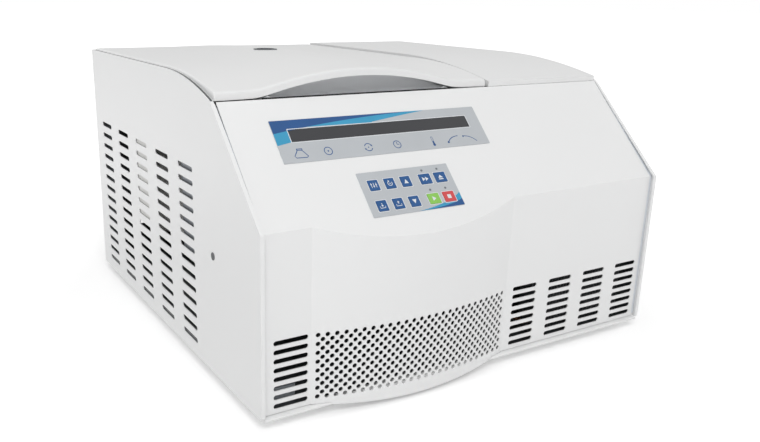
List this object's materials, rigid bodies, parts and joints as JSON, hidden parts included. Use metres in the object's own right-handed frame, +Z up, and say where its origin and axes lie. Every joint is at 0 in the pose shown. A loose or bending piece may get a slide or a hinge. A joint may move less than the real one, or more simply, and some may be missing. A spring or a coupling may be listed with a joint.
{
  "type": "refrigerated benchtop microplate centrifuge",
  "caption": "Benchtop lab centrifuge with a hinged lid, sloped control panel, perforated bulged front, slotted vents and a swing-out rotor for microplates in a cooled chamber.",
  "frame": {"origin": "middle of the machine's footprint, on the surface it stands on", "axes": "+Z up; -Y towards the operator, out of the sloped control panel; +X to the operator's right"},
  "size_m": [0.6066, 0.6232, 0.3777],
  "materials": {
    "white": "satin",
    "lid_white": "satin",
    "foam_white": "matte",
    "recess_grey": "satin",
    "frame_grey": "satin",
    "deck_grey": "satin",
    "liner_grey": "satin",
    "rubber": "matte",
    "bowl_steel": "brushed",
    "zinc_steel": "satin",
    "bearing_steel": "polished",
    "cast_alloy": "cast",
    "fin_alloy": "satin",
    "rotor_alloy": "anodised",
    "rotor_dark": "anodised",
    "bucket_alloy": "anodised",
    "copper": "satin",
    "black_paint": "satin",
    "black_plastic": "matte",
    "grey_plastic": "satin",
    "board_green": "satin",
    "overlay": "satin",
    "window_dark": "gloss",
    "window_glass": "gloss",
    "ring_dark": "satin",
    "dark_plug": "satin",
    "rocker_red": "gloss",
    "key_blue": "satin",
    "key_green": "satin",
    "key_red": "satin"
  },
  "bodies": {
    "housing": {"base_tray": "white", "feet": "rubber", "left_side_panel": "white", "right_side_panel": "white", "front_panel": "white", "rear_panel": "white", "right_top_cover": "lid_white", "chamber_deck": "deck_grey", "finger_recess": "recess_grey", "chamber_bowl": "bowl_steel", "chamber_insulation": "foam_white", "evaporator_coil": "copper", "lid_seal": "rubber", "inner_frame": "frame_grey", "motor_mount_plate": "zinc_steel", "motor_dampers": "rubber", "motor_housing": "cast_alloy", "motor_bearings": "bearing_steel", "compressor": "black_paint", "condenser": "fin_alloy", "fan_shroud": "black_plastic", "fan_motor": "black_paint", "refrigerant_pipes": "copper", "control_board": "board_green", "power_module": "fin_alloy", "display_panel": "overlay", "display_window": "window_dark", "display_module": "black_plastic", "keypad_panel": "overlay", "inlet_module": "black_plastic", "lock_housing": "zinc_steel", "hinge_brackets": "zinc_steel", "hinge_pins": "bearing_steel", "release_plug": "dark_plug", "panel_screws": "bearing_steel"},
    "lid": {"lid_cover": "lid_white", "lid_liner": "liner_grey", "viewport_ring": "ring_dark", "viewport_window": "window_glass", "lid_strikers": "bearing_steel", "hinge_arms": "zinc_steel"},
    "rotor": {"rotor_frame": "rotor_alloy", "rotor_nut": "rotor_dark", "motor_shaft": "bearing_steel"},
    "bucket_a": {"bucket_a": "bucket_alloy"},
    "bucket_b": {"bucket_b": "bucket_alloy"},
    "fan": {"fan_blades": "grey_plastic"},
    "lock": {"lock_hooks": "zinc_steel"},
    "rocker": {"power_rocker": "rocker_red"},
    "key_1": {"key_1": "key_blue"},
    "key_2": {"key_2": "key_blue"},
    "key_3": {"key_3": "key_blue"},
    "key_4": {"key_4": "key_blue"},
    "key_5": {"key_5": "key_blue"},
    "key_6": {"key_6": "key_blue"},
    "key_7": {"key_7": "key_blue"},
    "key_8": {"key_8": "key_blue"},
    "key_9": {"key_9": "key_green"},
    "key_10": {"key_10": "key_red"}
  },
  "joints": [
    {"name": "lid_hinge", "type": "hinge", "parent": "housing", "child": "lid", "pos_m": [-0.1045, 0.29685, 0.3515], "axis": [-1, 0, 0], "range_deg": [0, 75]},
    {"name": "rotor_spin", "type": "hinge", "parent": "housing", "child": "rotor", "pos_m": [-0.101, 0.09685, 0.284], "axis": [0, 0, 1], "continuous": true},
    {"name": "bucket_a_swing", "type": "hinge", "parent": "rotor", "child": "bucket_a", "pos_m": [-0.021, 0.09685, 0.284], "axis": [0, -1, 0], "range_deg": [0, 90]},
    {"name": "bucket_b_swing", "type": "hinge", "parent": "rotor", "child": "bucket_b", "pos_m": [-0.181, 0.09685, 0.284], "axis": [0, 1, 0], "range_deg": [0, 90]},
    {"name": "fan_spin", "type": "hinge", "parent": "housing", "child": "fan", "pos_m": [0.2025, -0.21415, 0.09], "axis": [0, 1, 0], "continuous": true},
    {"name": "lock_turn", "type": "hinge", "parent": "housing", "child": "lock", "pos_m": [-0.1045, -0.10215, 0.304], "axis": [1, 0, 0], "range_deg": [0, 32]},
    {"name": "rocker_tilt", "type": "hinge", "parent": "housing", "child": "rocker", "pos_m": [0.231, 0.30485, 0.076], "axis": [-1, 0, 0], "range_deg": [0, 16]},
    {"name": "key_1_press", "type": "slide", "parent": "housing", "child": "key_1", "axis": [0, 0.7208, -0.6931], "range_m": [0, 0.0005], "stiffness_N_per_m": 400},
    {"name": "key_2_press", "type": "slide", "parent": "housing", "child": "key_2", "axis": [0, 0.7208, -0.6931], "range_m": [0, 0.0005], "stiffness_N_per_m": 400},
    {"name": "key_3_press", "type": "slide", "parent": "housing", "child": "key_3", "axis": [0, 0.7208, -0.6931], "range_m": [0, 0.0005], "stiffness_N_per_m": 400},
    {"name": "key_4_press", "type": "slide", "parent": "housing", "child": "key_4", "axis": [0, 0.7208, -0.6931], "range_m": [0, 0.0005], "stiffness_N_per_m": 400},
    {"name": "key_5_press", "type": "slide", "parent": "housing", "child": "key_5", "axis": [0, 0.7208, -0.6931], "range_m": [0, 0.0005], "stiffness_N_per_m": 400},
    {"name": "key_6_press", "type": "slide", "parent": "housing", "child": "key_6", "axis": [0, 0.7208, -0.6931], "range_m": [0, 0.0005], "stiffness_N_per_m": 400},
    {"name": "key_7_press", "type": "slide", "parent": "housing", "child": "key_7", "axis": [0, 0.7208, -0.6931], "range_m": [0, 0.0005], "stiffness_N_per_m": 400},
    {"name": "key_8_press", "type": "slide", "parent": "housing", "child": "key_8", "axis": [0, 0.7208, -0.6931], "range_m": [0, 0.0005], "stiffness_N_per_m": 400},
    {"name": "key_9_press", "type": "slide", "parent": "housing", "child": "key_9", "axis": [0, 0.7208, -0.6931], "range_m": [0, 0.0005], "stiffness_N_per_m": 400},
    {"name": "key_10_press", "type": "slide", "parent": "housing", "child": "key_10", "axis": [0, 0.7208, -0.6931], "range_m": [0, 0.0005], "stiffness_N_per_m": 400}
  ],
  "couplings": [
    {"joint": "bucket_b_swing", "follows": "bucket_a_swing", "ratio": 1}
  ]
}
